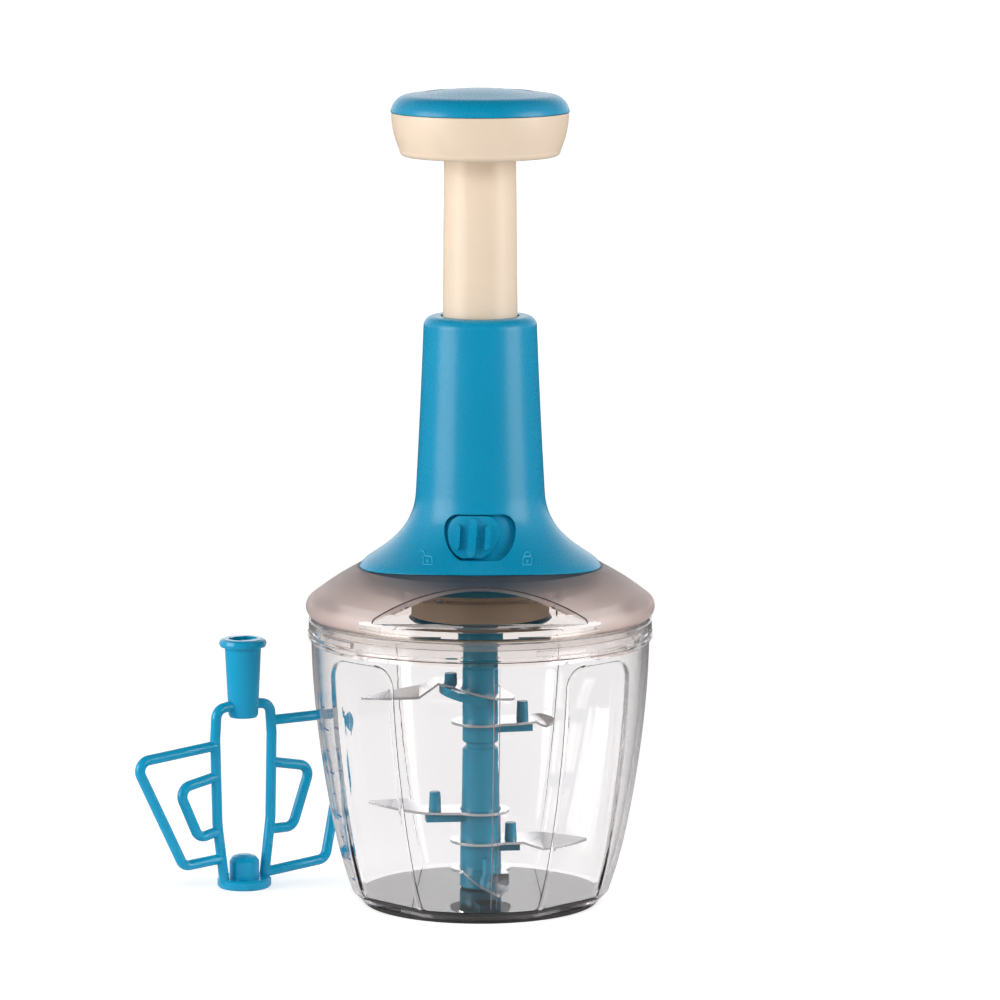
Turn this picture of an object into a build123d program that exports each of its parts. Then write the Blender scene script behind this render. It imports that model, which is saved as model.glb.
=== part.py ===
from build123d import *
from math import cos, radians, sin, tan
import os

# Plunger food chopper: a clear bowl with a twist-on lid, a pump knob that spins a stack of
# blades through a spiral rod, and a loose whisk that fits the same drive.
# Millimetres, +Z up, front at -Y, origin on the table at the centre of the bowl's foot.

# ---------------------------------------------------------------- driving dimensions

fit = 0.1                   # gap between pieces that slide or turn on each other

# Bowl and rubber foot
tread = 1.6                 # rubber below the bowl's foot
foot_radius = 46.4
bowl_wall = 2.4
bowl_floor = 2.4
panel_azimuths = [-43.7, -136.3, 46.3, 136.3]
panel_width = 34.0
panel_depth = 3.2
panel_top = 102.0
panel_corner = 9.0
panel_hollow = 2.5          # rounding where a flat runs out into the wall
panel_crest = 0.8           # rounding of its outer edge
rib_azimuth = -84.3
rib_width = 2.4
rib_height = 0.9
rib_top = 97.5
rim_bottom = 105.0
rim_top = 112.6
rim_radius = 67.2
rim_bore = 64.6
lug_count = 4
hook_span = 20.0            # degrees
hook_bottom = 107.0
hook_top = 109.2
hook_radius = 62.9          # inner radius of the hooks inside the rim
first_hook = -60.0          # azimuth of the first hook's centre

# Lid
lid_bottom = 113.6
lid_lip_radius = 49.3
lid_lip_height = 132.5
dome_slope = 0.635          # fall of the dome per millimetre outwards, near its top
seat_radius = 44.2          # bore that the housing's spigot drops into
seat_rim_radius = 48.3      # shallow saddle seat round the housing's edge
lid_wall = 2.4
skirt_radius = 62.4
skirt_wall = 2.0
skirt_bottom = 104.0
flange_radius = 38.0
flange_bottom = 124.8
flange_top = 127.0
lid_screw_circle = 42.0
window_foot = 54.3          # distance of the flat window's foot from the axis
window_sill = 118.7         # height of the ledge in front of the window
window_lean = 17.4          # degrees the window leans back
window_wall = 2.2
thumb_lip_half_width = 15.0
thumb_lip_reach = 70.4

# Housing: radius at each height of the neck and flare
housing_top = 231.5
neck_hole_radius = 15.4
neck_top_radius = 22.1
neck_top = 227.5
shoulder_width = 3.8
neck_bottom_radius = 25.2
neck_bottom = 162.4
flare_middle = (30.96, 147.3)
flare_low = (41.7, 138.2)
edge_radius = 47.4
edge_height = 132.9         # at the sides
edge_rise = 3.4             # how much higher the saddle edge runs at front and back
housing_wall = 2.4
spigot_radius = 43.9
spigot_bottom = 127.2
spigot_wall = 4.3

# Plunger and knob
travel = 56.0
tube_bottom = 201.0
tube_top = 297.6
tube_bottom_radius = 14.8
tube_top_radius = 14.0
tube_wall = 2.0
stop_flange_radius = 16.6
stop_flange = 3.0           # thickness
key_radius = 18.4
key_width = 3.6
knob_bottom = 293.5
knob_joint = 310.7          # where the coloured cap meets the pale grip
knob_top = 319.8
knob_radius = 34.5
knob_bottom_radius = 31.4
knob_wall = 2.2
knob_screw_circle = 16.8
cap_disc_radius = 20.6
cap_shoulder = 317.4

# Guide core, drive train
core_plate_bottom = 129.6
core_plate_top = 131.8
core_plate_radius = 39.3
guide_bore = 17.0
guide_wall = 1.9
guide_top = 216.0
boss_top = 134.2
rod_radius = 3.0            # over the corners of the twisted bar
rod_lead = 36.0             # advance per turn
rod_tip = 125.0
rod_head = 291.2
nut_flange_top = 122.6
nut_top = 133.2
nut_radius = 8.0
clutch_radius = 10.8
clutch_bore = 8.0
clutch_teeth = 10
tooth_height = 1.8
tooth_width = 4.5
clutch_bottom = 116.3
clutch_face = 120.6
cup_radius = 27.0
cup_wall = 2.0
cup_bottom = 113.7
cover_bottom = 111.6
shaft_radius = 6.8
shaft_bore = 3.4
shaft_bottom = 97.0
dog_tip = 85.5              # lower end of the shaft's toothed tongue
dog_radius = 5.5
dog_core_radius = 4.5
dog_span = 58.0             # degrees of each of the two teeth
socket_radius = 5.65
socket_rib_radius = 4.7
socket_rib_span = 76.0      # leaves 23 degrees of play each way
socket_floor = 84.5

gusset_azimuths = [-60, 0, 60, 120, 180, 240]
core_screw_circle = 34.0
core_screw_start = 30.0
cup_screw_circle = 29.4

# Lock slider
lock_azimuth = -95.3        # unlocked
lock_swing = 10.6           # degrees to the locked end
recess_half_width = 13.7
recess_bottom = 140.6
recess_top = 156.8
recess_depth = 2.3
slider_half_width = 9.9
catch_bottom = 149.4
catch_top = 152.2
catch_radius = 15.5
catch_span = 10.0

# Blade spindle
hub_bottom = 5.4
hub_joint = 61.2
hub_neck_radius = 5.6
upper_hub_bottom = 63.4
hub_radius = 7.05
hub_foot_radius = 8.2
hub_step = 37.4
hub_collar_radius = 7.95
hub_collar_bottom = 93.3
hub_top = 96.5
blade_thickness = 1.0
post_radius = 2.5
arm_thickness = 3.4
pin_radius = 2.5
pin_top = 30.0

# Whisk
whisk_place = (-94.2, 24.4)
whisk_turn = 36.0
whisk_bar = 2.05            # radius of the round bars
whisk_bend = 4.2
whisk_top = 100.2

os.makedirs("parts", exist_ok=True)


def finish(builder, name):
    """Label a finished piece and write its STEP file."""
    builder.part.label = name
    export_step(builder.part, f"parts/{name}.step")


def radial_plane(azimuth):
    """Upright plane through the axis; local X points outwards, local Y up."""
    a = radians(azimuth)
    return Plane(origin=(0, 0, 0), x_dir=(cos(a), sin(a), 0), z_dir=(sin(a), -cos(a), 0))


def facing_plane(azimuth):
    """Upright plane through the axis that looks outwards; local Y is up."""
    a = radians(azimuth)
    return Plane(origin=(0, 0, 0), x_dir=(-sin(a), cos(a), 0), z_dir=(cos(a), sin(a), 0))


def flat_plane(azimuth, height=0.0):
    """Level plane whose local X points along an azimuth."""
    a = radians(azimuth)
    return Plane(origin=(0, 0, height), x_dir=(cos(a), sin(a), 0), z_dir=(0, 0, 1))


def ring_sector(inner, outer, centre, span):
    """Sketch of a ring's sector about the origin."""
    start = centre - span / 2
    with BuildSketch() as sector:
        with BuildLine():
            far = CenterArc((0, 0), outer, start, span)
            near = CenterArc((0, 0), inner, start, span)
            Line(far @ 0, near @ 0)
            Line(far @ 1, near @ 1)
        make_face()
    return sector.sketch_local


def turned(outline):
    """Solid of revolution from a closed (radius, height) outline of straight runs."""
    with BuildPart() as body:
        with BuildSketch(Plane.XZ):
            with BuildLine():
                Polyline(*outline, close=True)
            make_face()
        revolve(axis=Axis.Z)
    return body.part


# ---------------------------------------------------------------- bowl

wall_curve = [(50.6, 5.0), (55.6, 21.3), (59.3, 38.9), (62.4, 58.1), (64.9, 79.7), (66.2, 103.5)]


def bowl_panel(azimuth, inset):
    """Cutter for one arched flat panel that follows the wall's upright curve."""
    with BuildPart() as cutter:
        with BuildSketch(radial_plane(azimuth).offset(-panel_width)):
            with BuildLine():
                flat = Spline(*[(r - inset - panel_depth, z) for r, z in wall_curve])
                lower = Line(flat @ 0, (40.0 - inset, -5.0))
                Polyline(flat @ 1, (90, 103.5), (90, -5.0), lower @ 1)
            make_face()
        extrude(amount=2 * panel_width)
        with BuildSketch(facing_plane(azimuth)):
            with Locations((0, (panel_top - 40) / 2)):
                outline = Rectangle(panel_width, panel_top + 40)
            fillet(outline.vertices().group_by(Axis.Z)[-1], radius=panel_corner)
        extrude(amount=90, mode=Mode.INTERSECT)
        arched = cutter.faces().filter_by(GeomType.EXTRUSION)[0]
        fillet(arched.edges().filter_by(lambda edge: edge.center().Z > 6), radius=panel_hollow)
    return cutter.part


def bowl_body(inset, bottom, top):
    """The bowl's turned form with its four flats, moved inwards by inset."""
    with BuildPart() as body:
        with BuildSketch(Plane.XZ):
            with BuildLine():
                side = Spline(*[(r - inset, z) for r, z in wall_curve])
                corner = Line(side @ 0, (side @ 0 - Vector(3.4, 5.0 - bottom)))
                Polyline(corner @ 1, (0, bottom), (0, top), (66.2 - inset, top), side @ 1)
            make_face()
        revolve(axis=Axis.Z)
        for azimuth in panel_azimuths:
            add(bowl_panel(azimuth, inset), mode=Mode.SUBTRACT)
    return body.part


floor_top = tread + bowl_floor + 1.0
bowl_cavity = bowl_body(bowl_wall, floor_top, rim_top + 5)

# Upright rib on the front, with a round upper end
with BuildPart() as front_rib:
    with BuildSketch(radial_plane(rib_azimuth)):
        with BuildLine():
            crest = Spline(*[(r + rib_height, z) for r, z in wall_curve])
            Polyline(crest @ 1, (60, 103.5), (45, 5.0), crest @ 0)
        make_face()
    extrude(amount=rib_width, both=True)
    with BuildSketch(facing_plane(rib_azimuth)):
        with Locations((0, rib_top / 2)):
            SlotOverall(rib_top + 20, rib_width, rotation=90)
    extrude(amount=90, mode=Mode.INTERSECT)

with BuildPart() as bowl:
    add(bowl_body(0.0, tread, rim_bottom))
    round_wall = bowl.faces().filter_by(GeomType.REVOLUTION)[0]
    panel_edges = round_wall.edges().filter_by(
        lambda edge: abs(edge.center().Y) > 1 and 7 < edge.center().Z < panel_top + 1
    )
    fillet(panel_edges, radius=panel_crest)
    # Rim band with two fine ridges
    add(turned([
        (60.0, rim_bottom - 1.2), (66.2, rim_bottom - 1.2), (rim_radius, rim_bottom),
        (rim_radius + 0.5, rim_bottom + 0.5), (rim_radius, rim_bottom + 1.0),
        (rim_radius, rim_bottom + 1.6), (rim_radius + 0.5, rim_bottom + 2.1),
        (rim_radius, rim_bottom + 2.6), (rim_radius, rim_top - 0.5),
        (rim_radius - 0.5, rim_top), (60.0, rim_top),
    ]))
    add(front_rib.part)
    add(bowl_cavity, mode=Mode.SUBTRACT)
    with Locations((0, 0, rim_bottom - 1.4)):
        Cylinder(rim_bore, 20, align=(Align.CENTER, Align.CENTER, Align.MIN), mode=Mode.SUBTRACT)
    # Hooks inside the rim that the lid's lugs turn under
    for number in range(lug_count):
        with BuildSketch(Plane.XY.offset(hook_bottom)):
            add(ring_sector(hook_radius, rim_bore + 0.4, first_hook + 90 * number, hook_span))
        extrude(amount=hook_top - hook_bottom)
    # Recess under the foot for the rubber, and the pin's boss
    with Locations((0, 0, tread)):
        Cylinder(43.5, 1.6, align=(Align.CENTER, Align.CENTER, Align.MIN), mode=Mode.SUBTRACT)
    with Locations((0, 0, tread + 1.6)):
        Cylinder(pin_radius, 10, align=(Align.CENTER, Align.CENTER, Align.MIN),
                 mode=Mode.SUBTRACT)
finish(bowl, "bowl")

with BuildPart() as anti_slip_base:
    add(turned([
        (0, 0), (foot_radius - 0.6, 0), (foot_radius, 0.6), (foot_radius, tread),
        (43.4, tread), (43.4, tread + 1.6), (0, tread + 1.6),
    ]))
finish(anti_slip_base, "anti_slip_base")

with BuildPart() as pivot_pin:
    add(turned([
        (0, tread + 1.6), (pin_radius, tread + 1.6), (pin_radius, pin_top - 1),
        (pin_radius - 1, pin_top), (0, pin_top),
    ]))
finish(pivot_pin, "pivot_pin")

# ---------------------------------------------------------------- lid

window_tan = tan(radians(window_lean))


def lid_section(closing):
    """Half section below the lid's rim curve and dome, closed through the given points."""
    peak = lid_lip_height + (lid_lip_radius - seat_radius) * dome_slope
    with BuildSketch(Plane.XZ) as section:
        with BuildLine():
            rim = ThreePointArc((66.1, lid_bottom), (68.3, 117.6), (67.0, 120.8))
            dome = ThreePointArc(rim @ 1, (59.3, 126.5), (lid_lip_radius, lid_lip_height))
            Polyline(dome @ 1, (seat_radius, peak), *closing, rim @ 0)
        make_face()
    return section.sketch


def window_profile(wall_only):
    """Section across the window: the cut in front of it, or its wall and sill."""
    top = 140.0
    foot = -window_foot
    lean = (top - window_sill) * window_tan
    if not wall_only:
        return [(foot, window_sill), (foot + lean, top), (-90, top), (-90, window_sill)]
    wall = window_wall / cos(radians(window_lean))
    sill = window_sill - window_wall
    return [(foot, window_sill), (foot + lean, top), (foot + lean + wall, top),
            (foot + wall, sill), (-90, sill), (-90, window_sill)]


def across(outline, half_width):
    """Prism along X from an outline of (y, z) points."""
    with BuildPart() as prism:
        with BuildSketch(Plane.YZ):
            with BuildLine():
                Polyline(*outline, close=True)
            make_face()
        extrude(amount=half_width, both=True)
    return prism.part


with BuildPart() as window_pane:
    add(across(window_profile(wall_only=True), 44))
    revolve(lid_section([(seat_radius, lid_bottom)]), axis=Axis.Z, mode=Mode.INTERSECT)


def saddle_above(lift):
    """Block above the saddle surface that the housing's edge rests on."""
    with BuildPart() as block:
        with BuildSketch(Plane.YZ):
            with BuildLine():
                low = edge_height + lift
                high = low + edge_rise
                bend = ThreePointArc((-edge_radius, high), (0, low), (edge_radius, high))
                left = Line(bend @ 0, bend @ 0 - (bend % 0) * 10)
                right = Line(bend @ 1, bend @ 1 + (bend % 1) * 10)
                Polyline(left @ 1, ((left @ 1).X, 160), ((right @ 1).X, 160), right @ 1)
            make_face()
        extrude(amount=60, both=True)
    return block.part


with BuildPart() as saddle_seat:
    add(saddle_above(0.1))
    Cylinder(seat_rim_radius, 300, mode=Mode.INTERSECT)

with BuildPart() as lid:
    # Dome, seat bore, screw flange and skirt as one turned section
    under_dome = lid_lip_height - lid_wall * 1.2
    revolve(lid_section([
        (seat_radius, flange_top), (flange_radius, flange_top),
        (flange_radius, flange_bottom), (seat_radius + lid_wall, flange_bottom),
        (seat_radius + lid_wall, under_dome + 1.6), (lid_lip_radius, under_dome),
        (skirt_radius - skirt_wall, 121.6), (skirt_radius - skirt_wall, skirt_bottom),
        (skirt_radius, skirt_bottom), (skirt_radius, lid_bottom),
    ]), axis=Axis.Z)
    # Flat clear window let into the front of the dome, with the sill before it
    add(across(window_profile(wall_only=False), 60), mode=Mode.SUBTRACT)
    add(window_pane.part)
    # Saddle seat round the housing's edge
    add(saddle_seat.part, mode=Mode.SUBTRACT)
    # Thumb lip under the window
    with BuildSketch(Plane.XY.offset(lid_bottom + 1.4)):
        with BuildLine():
            half = thumb_lip_half_width
            front = ThreePointArc((-half, -65.9), (0, -thumb_lip_reach), (half, -65.9))
            Line(front @ 1, front @ 0)
        make_face()
    extrude(amount=2.6)
    # Bayonet lugs on the skirt, standing between the bowl's hooks
    for number in range(lug_count):
        with BuildSketch(Plane.XY.offset(skirt_bottom)):
            add(ring_sector(skirt_radius - 1, 64.2, first_hook + 21.5 + 90 * number, 19.0))
        extrude(amount=2.7)
    # Screw holes through the flange
    with PolarLocations(lid_screw_circle, 4, start_angle=45):
        with Locations((0, 0, flange_bottom)):
            Cylinder(1.3, 10, mode=Mode.SUBTRACT)
finish(lid, "lid")

with BuildPart() as lid_screws:
    with PolarLocations(lid_screw_circle, 4, start_angle=45):
        with Locations((0, 0, flange_bottom - 1.6)):
            Cylinder(2.3, 1.5, align=(Align.CENTER, Align.CENTER, Align.MIN))
        with Locations((0, 0, flange_bottom - 0.2)):
            Cylinder(1.1, 6.0, align=(Align.CENTER, Align.CENTER, Align.MIN))
finish(lid_screws, "lid_screws")

with BuildPart() as lid_seal:
    add(turned([
        (skirt_radius + fit, hook_top + 0.6), (64.2, hook_top + 0.6), (64.2, rim_top + 0.25),
        (66.4, rim_top + 0.25), (66.4, lid_bottom - 0.2), (skirt_radius + fit, lid_bottom - 0.2),
    ]))
finish(lid_seal, "lid_seal")

# ---------------------------------------------------------------- housing


def housing_section(inset, closing):
    """Half section of the neck and flare, inset from the outer skin and closed by points."""
    with BuildSketch(Plane.XZ) as section:
        with BuildLine():
            shoulder = ThreePointArc(
                (neck_top_radius - shoulder_width - inset, housing_top - inset),
                (neck_top_radius - 1.1 - inset, housing_top - 1.2 - inset),
                (neck_top_radius - inset, neck_top - inset),
            )
            neck = ThreePointArc(
                shoulder @ 1, (23.3 - inset, 199.0), (neck_bottom_radius - inset, neck_bottom)
            )
            flare = Spline(
                neck @ 1,
                (flare_middle[0] - inset * 0.85, flare_middle[1] - inset * 0.6),
                (flare_low[0] - inset * 0.55, flare_low[1] - inset * 0.85),
                (edge_radius - inset * 0.6, edge_height - inset * 0.75),
                tangents=[neck % 1, (0.5, -1)],
            )
            Polyline(flare @ 1, *closing, shoulder @ 0)
        make_face()
    return section.sketch


def lock_outline(half_width, low, high):
    """Rounded outline of the lock's recess or slider, seen from the front."""
    with BuildSketch() as outline:
        with BuildLine():
            level = Line((0, high), (half_width - 4.9, high))
            brow = ThreePointArc(
                level @ 1, (half_width - 1.3, high - 2.0), (half_width, high - 6.4)
            )
            side = TangentArc(brow @ 1, (half_width - 6.2, low), tangent=(0, -1))
            Polyline(side @ 1, (0, low), (0, high))
        make_face()
        mirror(about=Plane.YZ)
    return outline.sketch_local


def lock_prism(half_width, low, high, azimuth):
    """The lock outline pushed outwards through the flare."""
    with BuildPart() as prism:
        with BuildSketch(facing_plane(azimuth)):
            add(lock_outline(half_width, low, high))
        extrude(amount=70)
    return prism.part


def flare_layer(outer_inset, inner_inset):
    """Turned layer of the flare between two depths below its skin."""
    with BuildPart() as layer:
        revolve(housing_section(outer_inset, [(0, 120), (0, housing_top)]), axis=Axis.Z)
        revolve(housing_section(inner_inset, [(0, 120), (0, housing_top)]), axis=Axis.Z,
                mode=Mode.SUBTRACT)
        with Locations((0, 0, 148)):
            Cylinder(60, 26, mode=Mode.INTERSECT)
    return layer.part


lock_middle = lock_azimuth + lock_swing / 2

with BuildPart() as recess_pad:
    add(flare_layer(0.5, housing_wall + 2.4))
    add(lock_prism(recess_half_width + 1.6, recess_bottom - 1.6, recess_top + 1.6, lock_middle),
        mode=Mode.INTERSECT)

with BuildPart() as recess:
    add(flare_layer(-8.0, recess_depth))
    add(lock_prism(recess_half_width, recess_bottom, recess_top, lock_middle),
        mode=Mode.INTERSECT)

with BuildPart() as core_bosses:
    with PolarLocations(core_screw_circle, 3, start_angle=core_screw_start):
        with Locations((0, 0, core_plate_top + 0.1)):
            Cylinder(3.0, 20, align=(Align.CENTER, Align.CENTER, Align.MIN))
            Cylinder(1.1, 14, mode=Mode.SUBTRACT)
    revolve(housing_section(1.2, [(0, 120), (0, housing_top)]), axis=Axis.Z, mode=Mode.INTERSECT)

with BuildPart() as housing_cavity:
    revolve(housing_section(housing_wall, [
        (edge_radius, 120), (0, 120), (0, housing_top - housing_wall),
    ]), axis=Axis.Z)
    with Locations((0, 0, 120)):
        Cylinder(spigot_radius - spigot_wall, 120, align=(Align.CENTER, Align.CENTER, Align.MIN),
                 mode=Mode.INTERSECT)

with BuildPart() as edge_trim:
    with Locations((0, 0, edge_height)):
        Cylinder(60, 40)
        Cylinder(spigot_radius, 40, mode=Mode.SUBTRACT)

with BuildPart() as housing:
    revolve(housing_section(0.0, [
        (edge_radius, spigot_bottom + 3), (spigot_radius, spigot_bottom + 3),
        (spigot_radius, spigot_bottom), (0, spigot_bottom), (0, housing_top),
    ]), axis=Axis.Z)
    # Saddle-shaped lower edge outside the spigot
    add(edge_trim.part - saddle_above(0.25), mode=Mode.SUBTRACT)
    add(housing_cavity.part, mode=Mode.SUBTRACT)
    with Locations((0, 0, housing_top)):
        Cylinder(neck_hole_radius, 20, mode=Mode.SUBTRACT)
    # Bosses for the core's screws, ending in the flare's wall
    add(core_bosses.part)
    # Recess for the lock slider, with a slot for its catch
    add(recess_pad.part)
    add(recess.part, mode=Mode.SUBTRACT)
    with BuildSketch(Plane.XY.offset(catch_bottom - 0.5)):
        add(ring_sector(18, 60, lock_middle, lock_swing + catch_span + 3))
    extrude(amount=catch_top - catch_bottom + 1.0, mode=Mode.SUBTRACT)
    # Pilot holes for the lid's screws
    with PolarLocations(lid_screw_circle, 4, start_angle=45):
        with Locations((0, 0, spigot_bottom - 1)):
            Cylinder(1.15, 6, align=(Align.CENTER, Align.CENTER, Align.MIN),
                     mode=Mode.SUBTRACT)
finish(housing, "housing")

# ---------------------------------------------------------------- lock

def grip_rib(offset, low, high, width, proud):
    """Upright rib with round ends on the slider's face."""
    with BuildPart() as rib:
        with BuildSketch(facing_plane(lock_azimuth)):
            with Locations((offset, (low + high) / 2)):
                SlotOverall(high - low, width, rotation=90)
        extrude(amount=70)
        add(flare_layer(-proud, 0.6), mode=Mode.INTERSECT)
    return rib.part


with BuildPart() as lock_slider:
    add(flare_layer(-0.2, recess_depth - 0.25))
    add(lock_prism(slider_half_width, recess_bottom + 1.0, recess_top - 0.5, lock_azimuth),
        mode=Mode.INTERSECT)
    add(grip_rib(0.0, 142.2, 155.8, width=3.2, proud=2.3))
    for rib_offset in (-5.9, 5.9):
        add(grip_rib(rib_offset, 144.6, 153.2, width=2.1, proud=1.8))
finish(lock_slider, "lock_slider")

with BuildPart() as lock_catch:
    with BuildSketch(Plane.XY.offset(catch_bottom)):
        add(ring_sector(catch_radius, 26.2, lock_azimuth, catch_span))
    extrude(amount=catch_top - catch_bottom)
    add(lock_slider.part, mode=Mode.SUBTRACT)
finish(lock_catch, "lock_catch")

# ---------------------------------------------------------------- guide core

with BuildPart() as mechanism_core:
    with Locations((0, 0, core_plate_bottom)):
        Cylinder(core_plate_radius, core_plate_top - core_plate_bottom,
                 align=(Align.CENTER, Align.CENTER, Align.MIN))
    with BuildSketch(Plane.XY.offset(core_plate_bottom)):
        Circle(guide_bore + guide_wall)
    extrude(amount=guide_top - core_plate_bottom)
    with BuildSketch(Plane.XY.offset(core_plate_top)):
        Circle(guide_bore)
        Circle(nut_radius + 2.4, mode=Mode.SUBTRACT)
    extrude(amount=100, mode=Mode.SUBTRACT)
    with Locations((0, 0, boss_top)):
        Cylinder(guide_bore, 100, align=(Align.CENTER, Align.CENTER, Align.MIN),
                 mode=Mode.SUBTRACT)
    # Boss that carries the nut, open below
    boss_bottom = nut_flange_top + 1.6
    with Locations((0, 0, boss_bottom)):
        Cylinder(nut_radius + 2.4, core_plate_bottom - boss_bottom,
                 align=(Align.CENTER, Align.CENTER, Align.MIN))
        Cylinder(nut_radius + fit, nut_top + 0.9 - boss_bottom,
                 align=(Align.CENTER, Align.CENTER, Align.MIN), mode=Mode.SUBTRACT)
    with Locations((0, 0, nut_top)):
        Cylinder(rod_radius + 1.2, 20, mode=Mode.SUBTRACT)
    # Gussets from the guide tube to the plate
    for azimuth in gusset_azimuths:
        with BuildSketch(radial_plane(azimuth)):
            with BuildLine():
                inner = guide_bore + guide_wall - 0.4
                Polyline((inner, core_plate_top), (33.0, core_plate_top), (inner, 150.0),
                         close=True)
            make_face()
        extrude(amount=0.9, both=True)
    # Slots that keep the plunger from turning and stop it at the top
    for azimuth in (0, 180):
        with BuildSketch(facing_plane(azimuth)):
            with Locations((0, (tube_bottom - travel - 1 + tube_bottom + stop_flange + 0.4) / 2)):
                Rectangle(key_width + 0.6, travel + stop_flange + 1.4)
        extrude(amount=30, mode=Mode.SUBTRACT)
    # Window for the lock's catch
    with BuildSketch(Plane.XY.offset(catch_bottom - 0.8)):
        add(ring_sector(guide_bore - 1, 22, lock_middle, lock_swing + catch_span + 4))
    extrude(amount=catch_top - catch_bottom + 1.6, mode=Mode.SUBTRACT)
    # Screw holes
    with PolarLocations(core_screw_circle, 3, start_angle=core_screw_start):
        with Locations((0, 0, core_plate_top)):
            Cylinder(1.3, 10, mode=Mode.SUBTRACT)
    with PolarLocations(cup_screw_circle, 3, start_angle=0):
        with Locations((0, 0, core_plate_top)):
            Cylinder(1.1, 10, mode=Mode.SUBTRACT)
finish(mechanism_core, "mechanism_core")

with BuildPart() as core_screws:
    with PolarLocations(core_screw_circle, 3, start_angle=core_screw_start):
        with Locations((0, 0, core_plate_bottom - 1.6)):
            Cylinder(2.2, 1.5, align=(Align.CENTER, Align.CENTER, Align.MIN))
        with Locations((0, 0, core_plate_bottom - 0.2)):
            Cylinder(1.1, 8.0, align=(Align.CENTER, Align.CENTER, Align.MIN))
finish(core_screws, "core_screws")

with BuildPart() as drive_cup:
    add(turned([
        (cup_radius - cup_wall, cup_bottom), (cup_radius, cup_bottom),
        (cup_radius, spigot_bottom), (cup_screw_circle + 2.2, spigot_bottom),
        (cup_screw_circle + 2.2, core_plate_bottom), (cup_radius - cup_wall, core_plate_bottom),
    ]))
    with PolarLocations(cup_screw_circle, 3, start_angle=0):
        with Locations((0, 0, core_plate_bottom)):
            Cylinder(1.2, 10, mode=Mode.SUBTRACT)
finish(drive_cup, "drive_cup")

with BuildPart() as cup_screws:
    with PolarLocations(cup_screw_circle, 3, start_angle=0):
        with Locations((0, 0, spigot_bottom - 1.5)):
            Cylinder(2.1, 1.5, align=(Align.CENTER, Align.CENTER, Align.MIN))
            Cylinder(1.0, 6.0, align=(Align.CENTER, Align.CENTER, Align.MIN))
finish(cup_screws, "cup_screws")

with BuildPart() as case_cover:
    snap = cup_radius - cup_wall - 0.2
    add(turned([
        (shaft_radius + fit, cover_bottom - 1.0), (9.4, cover_bottom - 1.0),
        (9.8, cover_bottom), (cup_radius, cover_bottom), (cup_radius + 1.0, cover_bottom + 0.9),
        (cup_radius, cup_bottom), (snap, cup_bottom), (snap, cup_bottom + 1.6),
        (snap - 1.2, cup_bottom + 1.6), (snap - 1.2, cup_bottom - 0.4),
        (shaft_radius + fit, cup_bottom - 0.4),
    ]))
finish(case_cover, "case_cover")

# ---------------------------------------------------------------- spiral drive

nut_face = clutch_face + 0.2        # root plane of the nut's teeth


def twisted_bar(corner_radius, low, high):
    """Square bar twisted about the axis; its phase is zero at the rod's tip."""
    turn = 360.0 / rod_lead
    with BuildSketch(Plane.XY.offset(low)) as section:
        profile = RegularPolygon(corner_radius, 4, rotation=turn * (low - rod_tip))
        fillet(profile.vertices(), radius=0.6)
    return Solid.extrude_linear_with_rotation(
        section.sketch.face(), center=(0, 0, low), normal=(0, 0, high - low), angle=turn * (high - low)
    )


def saw_teeth(base, upwards):
    """Ring of one-way teeth standing on, or hanging from, a level base."""
    side = 1 if upwards else -1
    tooth = [(-side * tooth_width / 2, 0), (side * tooth_width / 2, 0),
             (side * tooth_width / 2, side * tooth_height)]
    with BuildPart() as teeth:
        for number in range(clutch_teeth):
            with BuildSketch(facing_plane(360 / clutch_teeth * number)):
                with BuildLine():
                    Polyline(*[(x, base + z) for x, z in tooth], close=True)
                make_face()
            extrude(amount=clutch_radius + 3)
        with BuildSketch():
            Circle(clutch_radius)
            Circle(clutch_bore, mode=Mode.SUBTRACT)
        extrude(amount=200, mode=Mode.INTERSECT)
    return teeth.part


with BuildPart() as spiral_rod:
    add(twisted_bar(rod_radius, rod_tip, rod_head))
    with Locations((0, 0, rod_head)):
        Cylinder(11.4, 3.0, align=(Align.CENTER, Align.CENTER, Align.MIN))
    with Locations((0, 0, rod_head + 3.0)):
        Cylinder(1.4, 12, mode=Mode.SUBTRACT)
finish(spiral_rod, "spiral_rod")

with BuildPart() as drive_nut:
    with Locations((0, 0, nut_face)):
        Cylinder(clutch_radius, nut_flange_top - nut_face,
                 align=(Align.CENTER, Align.CENTER, Align.MIN))
        Cylinder(nut_radius, nut_top - nut_face, align=(Align.CENTER, Align.CENTER, Align.MIN))
    add(saw_teeth(nut_face, upwards=False))
    add(twisted_bar(rod_radius + fit, nut_face - 5, nut_top + 5), mode=Mode.SUBTRACT)
finish(drive_nut, "drive_nut")

with BuildPart() as clutch_ring:
    ring_face = clutch_face - tooth_height
    with Locations((0, 0, clutch_bottom)):
        Cylinder(clutch_radius, ring_face - clutch_bottom,
                 align=(Align.CENTER, Align.CENTER, Align.MIN))
    add(saw_teeth(ring_face, upwards=True))
    with BuildSketch(Plane.XY.offset(clutch_bottom)):
        RegularPolygon(6.6, 6)
    extrude(amount=20, mode=Mode.SUBTRACT)
finish(clutch_ring, "clutch_ring")

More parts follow.
